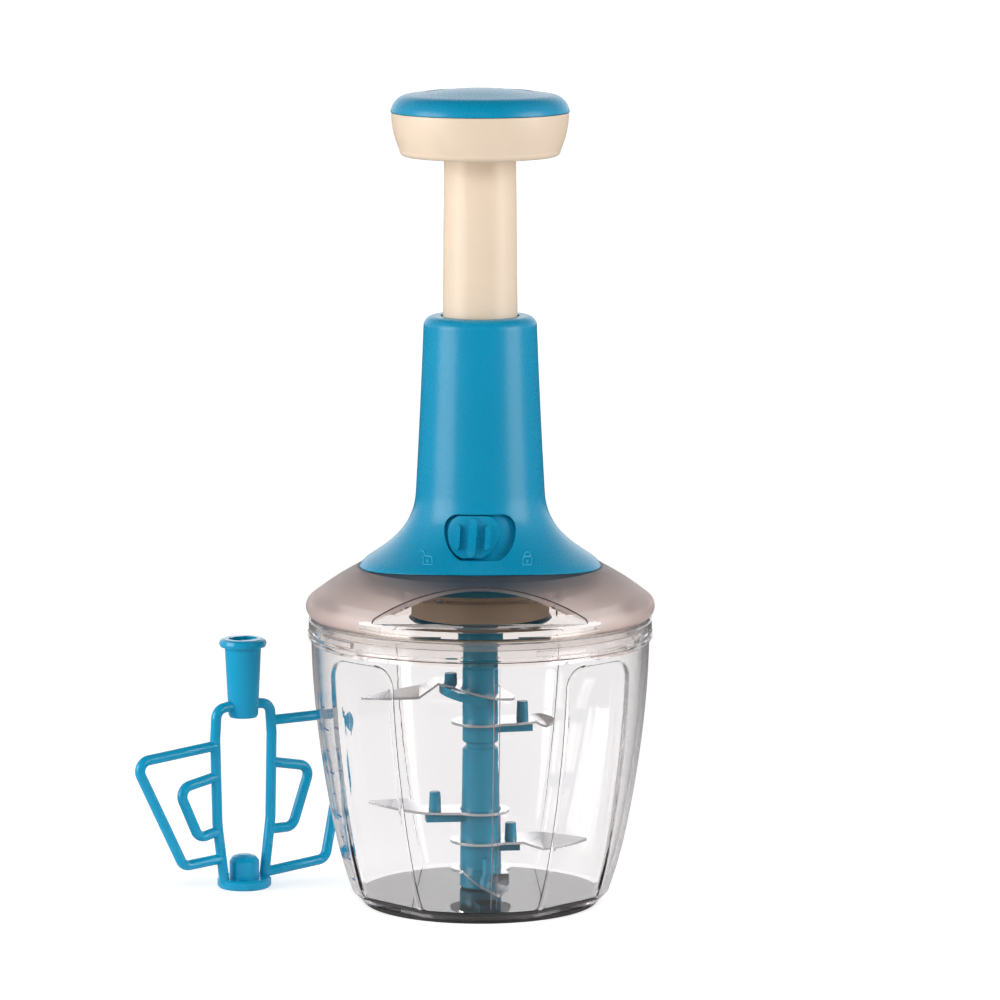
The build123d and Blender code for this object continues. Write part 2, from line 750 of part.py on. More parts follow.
with BuildPart() as output_shaft:
    flange_low = cup_bottom + 0.2
    with Locations((0, 0, flange_low)):
        Cylinder(clutch_radius, clutch_bottom - flange_low,
                 align=(Align.CENTER, Align.CENTER, Align.MIN))
    with BuildSketch(Plane.XY.offset(clutch_bottom)):
        RegularPolygon(6.5, 6)
    extrude(amount=3.2)
    with Locations((0, 0, shaft_bottom)):
        Cylinder(shaft_radius, flange_low - shaft_bottom,
                 align=(Align.CENTER, Align.CENTER, Align.MIN))
    # Toothed tongue that enters the blade hub
    with BuildSketch(Plane.XY.offset(dog_tip)):
        Circle(dog_core_radius)
        for azimuth in (0, 180):
            add(ring_sector(dog_core_radius - 0.5, dog_radius, azimuth, dog_span))
    extrude(amount=shaft_bottom - dog_tip)
    with Locations((0, 0, clutch_bottom)):
        Cylinder(shaft_bore, 100, mode=Mode.SUBTRACT)
finish(output_shaft, "output_shaft")

with BuildPart() as thrust_washer:
    add(turned([
        (rod_radius + 1.2, nut_top + 0.1), (nut_radius - 0.2, nut_top + 0.1),
        (nut_radius - 0.2, nut_top + 0.8), (rod_radius + 1.2, nut_top + 0.8),
    ]))
finish(thrust_washer, "thrust_washer")

with BuildPart() as spring_seat:
    add(turned([
        (rod_radius + 1.2, boss_top), (10.2, boss_top), (10.2, boss_top + 0.8),
        (6.4, boss_top + 0.8), (6.4, boss_top + 3.2), (5.4, boss_top + 3.2),
        (5.4, boss_top + 0.8), (rod_radius + 1.2, boss_top + 0.8),
    ]))
finish(spring_seat, "spring_seat")

with BuildPart() as return_spring:
    spring_bottom = boss_top + 0.8
    add(turned([
        (6.8, spring_bottom), (9.4, spring_bottom), (9.4, rod_head), (6.8, rod_head),
    ]))
finish(return_spring, "return_spring")

# ---------------------------------------------------------------- plunger and knob

with BuildPart() as plunger_tube:
    add(turned([
        (tube_bottom_radius - tube_wall, tube_bottom), (stop_flange_radius, tube_bottom),
        (stop_flange_radius, tube_bottom + stop_flange),
        (tube_bottom_radius, tube_bottom + stop_flange), (tube_top_radius, knob_bottom),
        (tube_top_radius, tube_top), (19.0, tube_top), (19.0, tube_top + 1.8),
        (0, tube_top + 1.8), (0, rod_head + 3.0), (tube_top_radius - tube_wall, rod_head + 3.0),
    ]))
    # Keys that run in the guide's slots
    for azimuth in (0, 180):
        with BuildSketch(facing_plane(azimuth)):
            with Locations((0, tube_bottom + stop_flange / 2)):
                Rectangle(key_width, stop_flange)
        extrude(amount=key_radius)
    with BuildSketch(Plane.XY.offset(tube_bottom - 1)):
        Circle(tube_bottom_radius - tube_wall)
    extrude(amount=8, mode=Mode.SUBTRACT)
    # Notch that lets the flange pass the open catch
    with BuildSketch(Plane.XY.offset(tube_bottom - 1)):
        add(ring_sector(tube_bottom_radius + 0.1, 20, lock_azimuth, catch_span + 3.5))
    extrude(amount=stop_flange + 2, mode=Mode.SUBTRACT)
    # Screw holes
    with Locations((0, 0, tube_top)):
        Cylinder(1.6, 10, mode=Mode.SUBTRACT)
    with PolarLocations(knob_screw_circle, 3, start_angle=30):
        with Locations((0, 0, tube_top)):
            Cylinder(1.2, 10, mode=Mode.SUBTRACT)
finish(plunger_tube, "plunger_tube")

with BuildPart() as knob_shell:
    with BuildSketch(Plane.XZ):
        with BuildLine():
            roll = ThreePointArc(
                (knob_bottom_radius - 2.6, knob_bottom),
                (knob_bottom_radius - 0.7, knob_bottom + 0.8),
                (knob_bottom_radius, knob_bottom + 2.6),
            )
            grip = ThreePointArc(
                roll @ 1, (knob_radius - 0.8, knob_joint - 7.6), (knob_radius, knob_joint - 0.2)
            )
            Polyline(
                grip @ 1, (knob_radius - knob_wall, knob_joint - 0.2),
                (knob_bottom_radius - knob_wall + 0.5, knob_bottom + 5.1),
                (knob_bottom_radius - 4, knob_bottom + 2.6), (22.0, knob_bottom + 2.6),
                (22.0, tube_top - 0.1), (tube_top_radius + fit, tube_top - 0.1),
                (tube_top_radius + fit, knob_bottom), roll @ 0,
            )
        make_face()
    revolve(axis=Axis.Z)
    with PolarLocations(knob_screw_circle, 3, start_angle=30):
        with Locations((0, 0, tube_top)):
            Cylinder(1.0, 7, mode=Mode.SUBTRACT)
finish(knob_shell, "knob_shell")

with BuildPart() as knob_screws:
    with PolarLocations(knob_screw_circle, 3, start_angle=30):
        with Locations((0, 0, tube_top - 3.2)):
            Cylinder(1.0, 5.2, align=(Align.CENTER, Align.CENTER, Align.MIN))
        with Locations((0, 0, tube_top + 1.8)):
            Cylinder(2.0, 1.4, align=(Align.CENTER, Align.CENTER, Align.MIN))
finish(knob_screws, "knob_screws")

with BuildPart() as rod_screw:
    with Locations((0, 0, rod_head - 1.4)):
        Cylinder(1.4, tube_top + 1.8 - rod_head + 1.6, align=(Align.CENTER, Align.CENTER, Align.MIN))
    with Locations((0, 0, tube_top + 1.8)):
        Cylinder(3.2, 1.6, align=(Align.CENTER, Align.CENTER, Align.MIN))
finish(rod_screw, "rod_screw")

with BuildPart() as knob_cap:
    with BuildSketch(Plane.XZ):
        with BuildLine():
            brow = ThreePointArc(
                (knob_radius + 0.2, knob_joint), (knob_radius - 1.4, knob_joint + 4.1),
                (knob_radius - 6.0, cap_shoulder),
            )
            slope = Line(brow @ 1, (cap_disc_radius + 0.6, cap_shoulder + 1.0))
            groove = Line(slope @ 1, (cap_disc_radius, cap_shoulder + 0.7))
            TangentArc((0, knob_top), groove @ 1, tangent=(1, 0))
            skirt = knob_radius - knob_wall - 0.8
            Polyline(
                (0, knob_top), (0, knob_top - 2.2), (cap_disc_radius, cap_shoulder - 1.4),
                (27.4, cap_shoulder - 2.4), (skirt - 1.6, knob_joint + 1.6),
                (skirt - 1.6, knob_joint - 3.4), (skirt, knob_joint - 3.4), (skirt, knob_joint),
                brow @ 0,
            )
        make_face()
    revolve(axis=Axis.Z)
finish(knob_cap, "knob_cap")

# ---------------------------------------------------------------- blade spindle


def station_plane(azimuth, reach, height, pitch):
    """Plane across a blade at one reach; local X lies along the blade's width."""
    a = radians(azimuth)
    p = radians(pitch)
    return Plane(
        origin=(reach * cos(a), reach * sin(a), height),
        x_dir=(-sin(a) * cos(p), cos(a) * cos(p), sin(p)), z_dir=(cos(a), sin(a), 0),
    )


def bent_strip(azimuth, stations, thickness, drop=0.0):
    """Sheet through a row of (reach, height, pitch) stations, lowered by drop."""
    with BuildPart() as strip:
        for reach, height, pitch in stations:
            with BuildSketch(station_plane(azimuth, reach, height - drop, pitch)):
                Rectangle(60, thickness)
        loft(ruled=True)
    return strip.part


def blade_outline(root, length, width, sweep, tip_radius):
    """Plan of a blade along +X: a round root and a curved wing that narrows to its tip."""
    with BuildSketch() as plan:
        Circle(root)
        with BuildLine():
            tip = (length, sweep)
            back = ThreePointArc((0, width * 0.5), (length * 0.55, width * 0.45 + sweep * 0.3), tip)
            edge = ThreePointArc(tip, (length * 0.6, -width * 0.5 + sweep * 0.3), (0, -width * 0.5))
            Line(edge @ 1, back @ 0)
        make_face()
        fillet(plan.vertices().sort_by(Axis.X)[-1], radius=tip_radius)
    return plan.sketch_local


def blade(azimuth, stations, root, length, width, sweep, tip_radius, bore, post_reach, **others):
    """Bent steel blade with a bore for the hub and a hole for its post."""
    with BuildPart() as steel:
        add(bent_strip(azimuth, stations, blade_thickness))
        with BuildSketch(flat_plane(azimuth)):
            add(blade_outline(root, length, width, sweep, tip_radius))
            Circle(bore, mode=Mode.SUBTRACT)
            with Locations((post_reach, 0)):
                Circle(post_radius + 0.05, mode=Mode.SUBTRACT)
        extrude(amount=120, mode=Mode.INTERSECT)
    return steel


def blade_arm(azimuth, stations, arm_reach, arm_half_width, post_reach, post_top, **others):
    """Plastic arm under one blade, with the tapered post that pins it."""
    with BuildPart() as arm:
        gap = 0.02
        add(bent_strip(azimuth, stations, arm_thickness,
                       drop=(arm_thickness + blade_thickness) / 2 + gap))
        with BuildSketch(flat_plane(azimuth)):
            Circle(arm_reach)
            with Locations((arm_reach / 2 - 1.5, 0)):
                Rectangle(arm_reach + 3, 2 * arm_half_width, mode=Mode.INTERSECT)
        extrude(amount=120, mode=Mode.INTERSECT)
        foot = arm.part.bounding_box().max.Z - blade_thickness
        with BuildSketch(flat_plane(azimuth, foot)):
            with Locations((post_reach, 0)):
                Circle(post_radius)
        extrude(amount=post_top - foot, taper=2.5)
    return arm.part


blades = {
    "blade_1": dict(azimuth=180.0, root=13.6, length=47.0, width=15.0, sweep=-2.0, bore=7.15,
                    tip_radius=0.5, arm_reach=16.2, arm_half_width=14.0, post_reach=11.6, post_top=90.6,
                    stations=[(-14, 80.7, 0), (16.5, 87.3, 0), (24, 82.6, -8), (48, 79.7, -6)]),
    "blade_2": dict(azimuth=14.0, root=11.5, length=32.0, width=17.0, sweep=3.0, bore=7.15,
                    tip_radius=3.0, arm_reach=20.6, arm_half_width=4.2, post_reach=17.0, post_top=78.7,
                    stations=[(-14, 71.2, 0), (20.8, 71.2, 0), (26, 69.9, 18), (36, 68.8, 20)]),
    "blade_3": dict(azimuth=186.0, root=11.5, length=44.0, width=15.0, sweep=-4.0, bore=7.95,
                    tip_radius=0.5, arm_reach=22.0, arm_half_width=4.2, post_reach=18.0, post_top=43.6,
                    stations=[(-14, 36.0, 0), (22, 36.0, 0), (28, 37.4, -10), (46, 38.8, -8)]),
    "blade_4": dict(azimuth=8.0, root=12.0, length=43.0, width=16.0, sweep=4.0, bore=8.1,
                    tip_radius=0.5, arm_reach=15.6, arm_half_width=4.2, post_reach=12.0, post_top=30.6,
                    stations=[(-14, 24.0, 0), (16, 24.0, 0), (24, 22.6, 12), (46, 21.4, 10)]),
    "blade_5": dict(azimuth=-76.0, root=12.0, length=42.0, width=15.0, sweep=-3.0, bore=8.3,
                    tip_radius=0.5, arm_reach=16.4, arm_half_width=4.2, post_reach=12.8, post_top=18.8,
                    stations=[(-14, 13.0, 0), (17, 13.0, 0), (24, 11.0, -8), (44, 9.6, -6)]),
}
for blade_name, shape in blades.items():
    finish(blade(**shape), blade_name)


def drive_socket():
    """Sketch of the socket that takes the shaft's toothed tongue."""
    with BuildSketch() as socket:
        Circle(socket_radius)
        for azimuth in (90, 270):
            add(ring_sector(socket_rib_radius, socket_radius + 1, azimuth, socket_rib_span),
                mode=Mode.SUBTRACT)
    return socket.sketch_local


with BuildPart() as upper_hub:
    add(turned([
        (0, upper_hub_bottom), (hub_radius - 0.4, upper_hub_bottom),
        (hub_radius, upper_hub_bottom + 0.6), (hub_radius, hub_collar_bottom - 0.7),
        (hub_collar_radius, hub_collar_bottom), (hub_collar_radius, hub_top - 0.5),
        (hub_collar_radius - 0.5, hub_top), (0, hub_top),
    ]))
    for blade_name in ("blade_1", "blade_2"):
        add(blade_arm(**blades[blade_name]))
    with BuildSketch(Plane.XY.offset(socket_floor)):
        add(drive_socket())
    extrude(amount=20, mode=Mode.SUBTRACT)
    with Locations((0, 0, upper_hub_bottom + 5.2)):
        Cylinder(shaft_bore, 30, align=(Align.CENTER, Align.CENTER, Align.MIN),
                 mode=Mode.SUBTRACT)
    with BuildSketch(Plane.XY.offset(upper_hub_bottom)):
        RegularPolygon(4.7, 6)
    extrude(amount=3.4, mode=Mode.SUBTRACT)
finish(upper_hub, "upper_hub")

with BuildPart() as lower_hub:
    add(turned([
        (0, hub_bottom), (hub_foot_radius - 0.5, hub_bottom),
        (hub_foot_radius, hub_bottom + 0.6), (hub_radius + 0.75, hub_step - 0.3),
        (hub_radius + 0.4, hub_step), (hub_radius, hub_joint - 0.6),
        (hub_radius - 0.5, hub_joint), (hub_neck_radius, hub_joint),
        (hub_neck_radius, upper_hub_bottom), (0, upper_hub_bottom),
    ]))
    with BuildSketch(Plane.XY.offset(upper_hub_bottom - 1)):
        RegularPolygon(4.6, 6)
    extrude(amount=4.2)
    for blade_name in ("blade_3", "blade_4", "blade_5"):
        add(blade_arm(**blades[blade_name]))
    with Locations((0, 0, hub_bottom)):
        Cylinder(pin_radius + fit / 2, pin_top + 0.6 - hub_bottom,
                 align=(Align.CENTER, Align.CENTER, Align.MIN), mode=Mode.SUBTRACT)
finish(lower_hub, "lower_hub")

# ---------------------------------------------------------------- whisk


def whisk_rod(points):
    """Round bar along a route of (across, height) points with rounded corners."""
    with BuildPart() as bar:
        with BuildLine(Plane.XZ) as route:
            FilletPolyline(*points, radius=whisk_bend)
        path = route.wire()
        with BuildSketch(Plane(origin=path @ 0, z_dir=path % 0)):
            Circle(whisk_bar)
        sweep(path=path)
    return bar.part


whisk_routes = [
    # posts from the foot up to the sleeve, left and right
    [(-9.5, 3.0), (-12.6, 26.4), (-13.4, 61.0), (-12.6, 72.7), (-5.0, 73.7)],
    [(9.5, 3.0), (12.6, 26.4), (13.4, 61.0), (12.6, 72.7), (5.0, 73.7)],
    # left loops, outer and inner
    [(-13.2, 58.4), (-51.0, 55.5), (-28.7, 11.6), (-10.8, 12.6)],
    [(-13.0, 46.0), (-30.9, 42.7), (-21.4, 21.9), (-12.0, 24.0)],
    # right loops, outer and inner
    [(13.2, 65.9), (51.6, 65.4), (39.0, 6.7), (10.0, 4.7)],
    [(13.0, 49.1), (32.0, 45.3), (23.2, 21.7), (12.0, 21.9)],
]

with BuildPart() as whisk_form:
    # Tapered sleeve with a rolled mouth
    add(turned([
        (0, 68.7), (5.4, 68.7), (5.9, 69.7), (7.2, whisk_top - 3.6), (8.9, whisk_top - 3.2),
        (9.4, whisk_top - 2.0), (8.9, whisk_top - 0.5), (7.6, whisk_top), (0, whisk_top),
    ]))
    # Foot disc with its domed plug
    add(turned([
        (0, 0), (10.0, 0), (10.75, 0.8), (10.75, 3.2), (10.0, 3.9), (5.9, 3.9), (5.9, 10.6),
        (4.6, 12.4), (2.2, 13.2), (0, 13.3),
    ]))
    for points in whisk_routes:
        add(whisk_rod(points))
    with BuildSketch(Plane.XY.offset(72.2)):
        Circle(shaft_bore)
    extrude(amount=40, mode=Mode.SUBTRACT)
    with BuildSketch(Plane.XY.offset(whisk_top - 13.0)):
        add(drive_socket())
    extrude(amount=20, mode=Mode.SUBTRACT)

with BuildPart() as whisk:
    with Locations(Location((*whisk_place, 0), (0, 0, whisk_turn))):
        add(whisk_form.part)
finish(whisk, "whisk")
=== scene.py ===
import math

import bmesh
import bpy
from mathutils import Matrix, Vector
from mathutils.bvhtree import BVHTree


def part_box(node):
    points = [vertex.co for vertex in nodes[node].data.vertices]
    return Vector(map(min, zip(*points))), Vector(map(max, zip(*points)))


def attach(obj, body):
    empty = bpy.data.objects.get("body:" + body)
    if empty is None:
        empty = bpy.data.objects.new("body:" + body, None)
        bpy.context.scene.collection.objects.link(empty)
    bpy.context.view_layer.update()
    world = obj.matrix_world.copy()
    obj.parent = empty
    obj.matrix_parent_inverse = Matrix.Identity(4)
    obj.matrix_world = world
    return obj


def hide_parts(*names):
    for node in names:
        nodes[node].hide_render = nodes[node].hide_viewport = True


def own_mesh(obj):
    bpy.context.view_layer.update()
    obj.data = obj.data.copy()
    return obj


# Looks of the plunger food chopper. Metres, +Z up, front at -Y.

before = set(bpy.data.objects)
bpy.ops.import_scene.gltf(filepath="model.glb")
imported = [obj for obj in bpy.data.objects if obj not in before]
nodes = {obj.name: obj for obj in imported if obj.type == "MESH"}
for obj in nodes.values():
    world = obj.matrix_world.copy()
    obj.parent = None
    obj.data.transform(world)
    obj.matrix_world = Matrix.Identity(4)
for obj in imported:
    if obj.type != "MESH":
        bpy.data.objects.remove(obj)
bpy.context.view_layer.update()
scene = bpy.context.scene
MM = 0.001

# ---------------------------------------------------------------- shader helpers


class Shader:
    """A material's node tree, built a node at a time."""

    def __init__(self, name):
        self.material = bpy.data.materials.new(name)
        self.material.use_nodes = True
        self.tree = self.material.node_tree
        self.tree.nodes.clear()
        self.place = self.node("ShaderNodeTexCoord").outputs["Object"]

    @classmethod
    def over(cls, tree):
        """The same helper over another, emptied node tree."""
        made = cls.__new__(cls)
        made.tree = tree
        tree.nodes.clear()
        return made

    def connect(self, node, inputs):
        """Link or set a node's inputs."""
        for key, value in inputs.items():
            if isinstance(value, bpy.types.NodeSocket):
                self.tree.links.new(value, node.inputs[key])
            else:
                node.inputs[key].default_value = value

    def node(self, kind, inputs=None, **settings):
        made = self.tree.nodes.new(kind)
        for key, value in settings.items():
            setattr(made, key, value)
        self.connect(made, inputs or {})
        return made

    def stretched(self, scale):
        """Object coordinates scaled by axis."""
        return self.node("ShaderNodeMapping", {"Vector": self.place, "Scale": scale}).outputs[0]

    def noise(self, scale, detail=2.0, place=None):
        """Fractal noise, scale in cycles per metre."""
        return self.node("ShaderNodeTexNoise", {
            "Vector": place or self.place, "Scale": scale, "Detail": detail, "Roughness": 0.55,
        }).outputs["Fac"]

    def remap(self, value, low, high, start=0.3, end=0.7):
        """Map start..end, by default the middle of a noise, to low..high, held at both ends."""
        return self.node("ShaderNodeMapRange", {
            "Value": value, "From Min": start, "From Max": end, "To Min": low, "To Max": high,
        }).outputs[0]

    def maths(self, operation, *values):
        return self.node("ShaderNodeMath", dict(enumerate(values)), operation=operation).outputs[0]

    def length(self, vector):
        return self.node("ShaderNodeVectorMath", {0: vector}, operation="LENGTH").outputs["Value"]

    def blend_value(self, share, first, second):
        return self.node("ShaderNodeMix", {0: share, 2: first, 3: second}).outputs[0]

    def blend_colour(self, share, first, second):
        # A Mix node set to RGBA has its two colours at inputs 6 and 7
        made = self.node("ShaderNodeMix", {0: share, 6: first, 7: second}, data_type="RGBA")
        return made.outputs[2]

    def mottled(self, noise, dark, light):
        """Colour that wanders with a noise."""
        return self.blend_colour(self.remap(noise, 0.0, 1.0), dark, light)

    def bump(self, height, strength, distance, rounding=0.0):
        """Bump in metres, over corners softened by a bevel radius."""
        inputs = {"Height": height, "Strength": strength, "Distance": distance}
        if rounding:
            inputs["Normal"] = self.node(
                "ShaderNodeBevel", {"Radius": rounding}, samples=4).outputs[0]
        return self.node("ShaderNodeBump", inputs).outputs[0]

    def principled(self, **inputs):
        """Principled shader; a keyword's underscores stand for the socket name's spaces."""
        named = {key.replace("_", " "): value for key, value in inputs.items()}
        return self.node("ShaderNodeBsdfPrincipled", named).outputs[0]

    def emission(self, strength):
        return self.node("ShaderNodeEmission", {
            "Color": (1, 1, 1, 1), "Strength": strength}).outputs[0]

    def background(self, colour, strength):
        return self.node("ShaderNodeBackground", {
            "Color": colour, "Strength": strength}).outputs[0]

    def blend_shaders(self, share, first, second):
        return self.node("ShaderNodeMixShader", {0: share, 1: first, 2: second}).outputs[0]

    def finish(self, shader, volume=None):
        output = self.node("ShaderNodeOutputMaterial", {"Surface": shader})
        if volume is not None:
            self.connect(output, {"Volume": volume})
        return self.material


def shade(colour, factor):
    return tuple(min(1.0, c * factor) for c in colour[:3]) + (1.0,)


def plastic(name, colour, roughness, rounding=0.0, grain=0.25, ior=1.45):
    """Moulded plastic: faint mottling, a fine satin grain and softened corners."""
    s = Shader(name)
    fine = s.noise(1400.0, 3.0)
    return s.finish(s.principled(
        Base_Color=s.mottled(s.noise(22.0, 3.0), shade(colour, 0.95), shade(colour, 1.05)),
        Roughness=s.remap(fine, roughness - 0.04, roughness + 0.04),
        IOR=ior,
        Normal=s.bump(fine, grain, 0.04 * MM, rounding),
    ))


def steel(name, colour, roughness, streak):
    """Metal with fine grinding streaks along one direction and a faint haze."""
    s = Shader(name)
    streaks = s.noise(1.0, 4.0, s.stretched(streak))
    haze = s.noise(60.0, 3.0)
    return s.finish(s.principled(
        Base_Color=s.mottled(haze, shade(colour, 0.93), shade(colour, 1.05)),
        Metallic=1.0,
        Roughness=s.maths("ADD", s.remap(streaks, roughness - 0.06, roughness + 0.08),
                          s.remap(haze, -0.02, 0.03)),
        Normal=s.bump(streaks, 0.12, 0.03 * MM, 0.15 * MM),
    ))


def glassy(s, colour, roughness, weight, lamp_tint, normal, ior=1.49, polish=0.0, volume=None):
    """See-through plastic whose shadow lets the lamps through; polish is a clear gloss on it."""
    body = s.principled(
        Base_Color=colour, Roughness=roughness, IOR=ior, Transmission_Weight=weight,
        Normal=normal, Coat_Weight=polish, Coat_IOR=1.5, Coat_Roughness=0.03)
    thin = s.node("ShaderNodeBsdfTransparent", {"Color": lamp_tint}).outputs[0]
    shadow_ray = s.node("ShaderNodeLightPath").outputs["Is Shadow Ray"]
    return s.finish(s.blend_shaders(shadow_ray, body, thin), volume)


def clear_plastic(name, colour, lamp_tint, depth_tint, density):
    """Polished clear plastic with hair-fine handling marks, greyer the more of it is crossed."""
    s = Shader(name)
    marks = s.noise(500.0, 4.0, s.stretched((1.0, 1.0, 0.25)))
    haze = s.noise(35.0, 2.0)
    rough = s.maths("ADD", s.remap(marks, 0.0, 0.02, 0.5, 0.75), s.remap(haze, 0.004, 0.02))
    base = s.mottled(haze, shade(colour, 0.99), shade(colour, 1.0))
    tint = s.node("ShaderNodeVolumeAbsorption", {"Color": depth_tint, "Density": density})
    return glassy(s, base, rough, 1.0, lamp_tint, s.bump(marks, 0.03, 0.02 * MM),
                  ior=1.12, polish=0.8, volume=tint.outputs[0])


def frosted(name, colour, roughness, weight, lamp_tint, ior=1.49):
    """Plain frosted plastic or silicone."""
    s = Shader(name)
    fine = s.noise(2200.0, 3.0)
    base = s.mottled(s.noise(30.0, 3.0), shade(colour, 0.95), shade(colour, 1.04))
    return glassy(s, base, s.remap(fine, roughness - 0.05, roughness + 0.05), weight, lamp_tint,
                  s.bump(fine, 0.3, 0.04 * MM), ior)


def rubber(name, dark, dusty):
    """Matt rubber with a moulded pebble and a little dust."""
    s = Shader(name)
    pebble = s.noise(1800.0, 2.0)
    dust = s.remap(s.noise(140.0, 5.0), 0.0, 1.0, 0.45, 0.75)
    return s.finish(s.principled(
        Base_Color=s.blend_colour(dust, dark, dusty),
        Roughness=s.remap(pebble, 0.5, 0.72),
        Normal=s.bump(pebble, 0.5, 0.08 * MM),
    ))


def printed_ink(name, dark, light):
    """Thin blue print, slightly uneven."""
    s = Shader(name)
    specks = s.noise(900.0, 3.0)
    return s.finish(s.principled(
        Base_Color=s.mottled(specks, dark, light),
        Roughness=s.remap(specks, 0.35, 0.5),
        Normal=s.bump(specks, 0.2, 0.02 * MM),
    ))


# The lid's forms, as the CAD has them, and where its painted shade lies
DOME_FALL = 0.66            # the lid's dome drops this much per length outwards
DOME_REACH = 164.0 * MM     # height plus fall of a point just inside the outer skin
SKIN_MARGIN = 0.2 * MM      # the outer skin itself has at least this much more
# The frost's painted shade darkens it between these heights
DOME_SHADE_LOW, DOME_SHADE_HIGH = 119.0 * MM, 133.0 * MM
BLUE_SHADE_LOW, BLUE_SHADE_HIGH = 128.0 * MM, 132.5 * MM    # painted shade of the housing behind grows more and more
BLUE_SHADE_NEAR, BLUE_SHADE_FAR = 8.0 * MM, 36.0 * MM       # and less and less to the sides
RIM_RADIUS = 65.5 * MM
RIM_BOTTOM = 113.7 * MM
# The painted shade along the rim's lower edge fades over this height
RIM_EDGE = 1.6 * MM
GROOVE_RADIUS = 47.8 * MM   # the groove round the housing lies inside this
GROOVE_SHADE_NEAR, GROOVE_SHADE_FAR = 14.0 * MM, 42.0 * MM  # and its painted shade gets darker to the sides
LEDGE_TOP = 119.0 * MM
LEDGE_BACK = -50.0 * MM
WINDOW_LEAN = math.radians(17.4)
WINDOW_FOOT = -54.3 * MM
PANE_DEPTH = 2.8 * MM
PANE_OFFSET = 0.3 * math.tan(WINDOW_LEAN) * MM  # the leaning line starts 0.3 mm below LEDGE_TOP

# The lid's colours, painted shade among them
FROST_DARK, FROST_LIGHT = (0.72, 0.575, 0.54, 1), (0.77, 0.625, 0.585, 1)
FROST_TOP_SHADE = (0.33, 0.275, 0.27, 1)         # painted shade at the top of the dome
FROST_BLUE_SHADE = (0.07, 0.085, 0.11, 1)    # painted shade of the housing seen through the frost
# painted shade in the groove round the housing
FROST_GROOVE_SHADE = (0.02, 0.045, 0.065, 1)
# painted shade along the rim's lower edge
FROST_RIM_SHADE = (0.17, 0.135, 0.145, 1)
WINDOW_TINT = (0.93, 0.88, 0.85, 1)
LID_LAMP_TINT = (0.42, 0.38, 0.365, 1)


def frosted_share(s, y, z, radius):
    """1 on the frosted dome and rim, 0 on the polished window, ledge and inside."""
    reach = s.maths("MULTIPLY_ADD", radius, DOME_FALL, z)
    dome = s.maths("GREATER_THAN", reach, DOME_REACH)
    rim = s.maths("MULTIPLY", s.maths("GREATER_THAN", radius, RIM_RADIUS),
                  s.maths("GREATER_THAN", z, RIM_BOTTOM))
    # The window's front face lies on a leaning plane; the ledge lies before its foot
    behind = s.maths("MULTIPLY_ADD", s.maths("SUBTRACT", z, LEDGE_TOP), -math.tan(WINDOW_LEAN), y)
    pane = s.maths("MULTIPLY", s.maths("LESS_THAN", behind, WINDOW_FOOT + PANE_DEPTH),
                   s.maths("LESS_THAN", reach, DOME_REACH + SKIN_MARGIN))
    ledge = s.maths("MULTIPLY", s.maths("LESS_THAN", z, LEDGE_TOP),
                    s.maths("LESS_THAN", y, LEDGE_BACK))
    clear = s.maths("MAXIMUM", pane, ledge)
    return s.maths("MULTIPLY", s.maths("MAXIMUM", dome, rim), s.maths("SUBTRACT", 1.0, clear))


def frost_with_painted_shade(s, x, y, z, radius):
    """Frost with painted shade upwards, over the housing behind it, in its groove and at the rim's
    edge.
    """
    across = s.maths("ABSOLUTE", x)
    # Painted shade darkens the frost towards the top of the dome
    frost = s.blend_colour(s.remap(z, 0.0, 1.0, DOME_SHADE_LOW, DOME_SHADE_HIGH),
                           s.mottled(s.noise(30.0, 3.0), FROST_DARK, FROST_LIGHT), FROST_TOP_SHADE)
    # Painted shade of the blue housing seen through the frost, near the front top
    near_front = s.maths("MULTIPLY", s.maths("LESS_THAN", y, 0.0),
                         s.remap(across, 1.0, 0.0, BLUE_SHADE_NEAR, BLUE_SHADE_FAR))
    blue_shade_share = s.maths("MULTIPLY", near_front, s.remap(z, 0.0, 0.85, BLUE_SHADE_LOW, BLUE_SHADE_HIGH))
    frost = s.blend_colour(blue_shade_share, frost, FROST_BLUE_SHADE)
    # Painted shade in the groove round the housing
    groove = s.maths("MULTIPLY", s.maths("LESS_THAN", radius, GROOVE_RADIUS),
                     s.remap(across, 0.25, 1.0, GROOVE_SHADE_NEAR, GROOVE_SHADE_FAR))
    frost = s.blend_colour(groove, frost, FROST_GROOVE_SHADE)
    # Painted shade along the rim's lower edge
    rim_shade = s.remap(z, 0.7, 0.0, RIM_BOTTOM, RIM_BOTTOM + RIM_EDGE)
    return s.blend_colour(rim_shade, frost, FROST_RIM_SHADE)


def frosted_lid(name):
    """Smoky plastic, frosted on the outer dome, polished on the window, ledge and inside."""
    s = Shader(name)
    x, y, z = s.node("ShaderNodeSeparateXYZ", {0: s.place}).outputs
    radius = s.length(s.node("ShaderNodeCombineXYZ", {0: x, 1: y}).outputs[0])
    frosting = frosted_share(s, y, z, radius)
    fine = s.noise(2600.0, 3.0)
    polish = 0.7
    return glassy(
        s, s.blend_colour(frosting, WINDOW_TINT, frost_with_painted_shade(s, x, y, z, radius)),
        s.blend_value(frosting, 0.02, s.remap(fine, 0.32, 0.42)),
        s.blend_value(frosting, 1.0, 0.5), LID_LAMP_TINT,
        s.bump(s.maths("MULTIPLY", fine, frosting), 0.25, 0.04 * MM),
        ior=1.14, polish=s.maths("MULTIPLY_ADD", frosting, -polish, polish))


# ---------------------------------------------------------------- materials

BLUE = (0.002, 0.272, 0.466)
# A paler blue, painted highlight on the padlock signs' raised lines
BLUE_SIGN_HIGHLIGHT = (0.02, 0.39, 0.60)
# A lighter copy of BLUE, painted light on the whisk
BLUE_WHISK_LIT = (0.003, 0.34, 0.585)
# A darker copy of BLUE, painted shade on the hubs and shaft inside the bowl
BLUE_INNER_SHADED = (0.003, 0.175, 0.275)
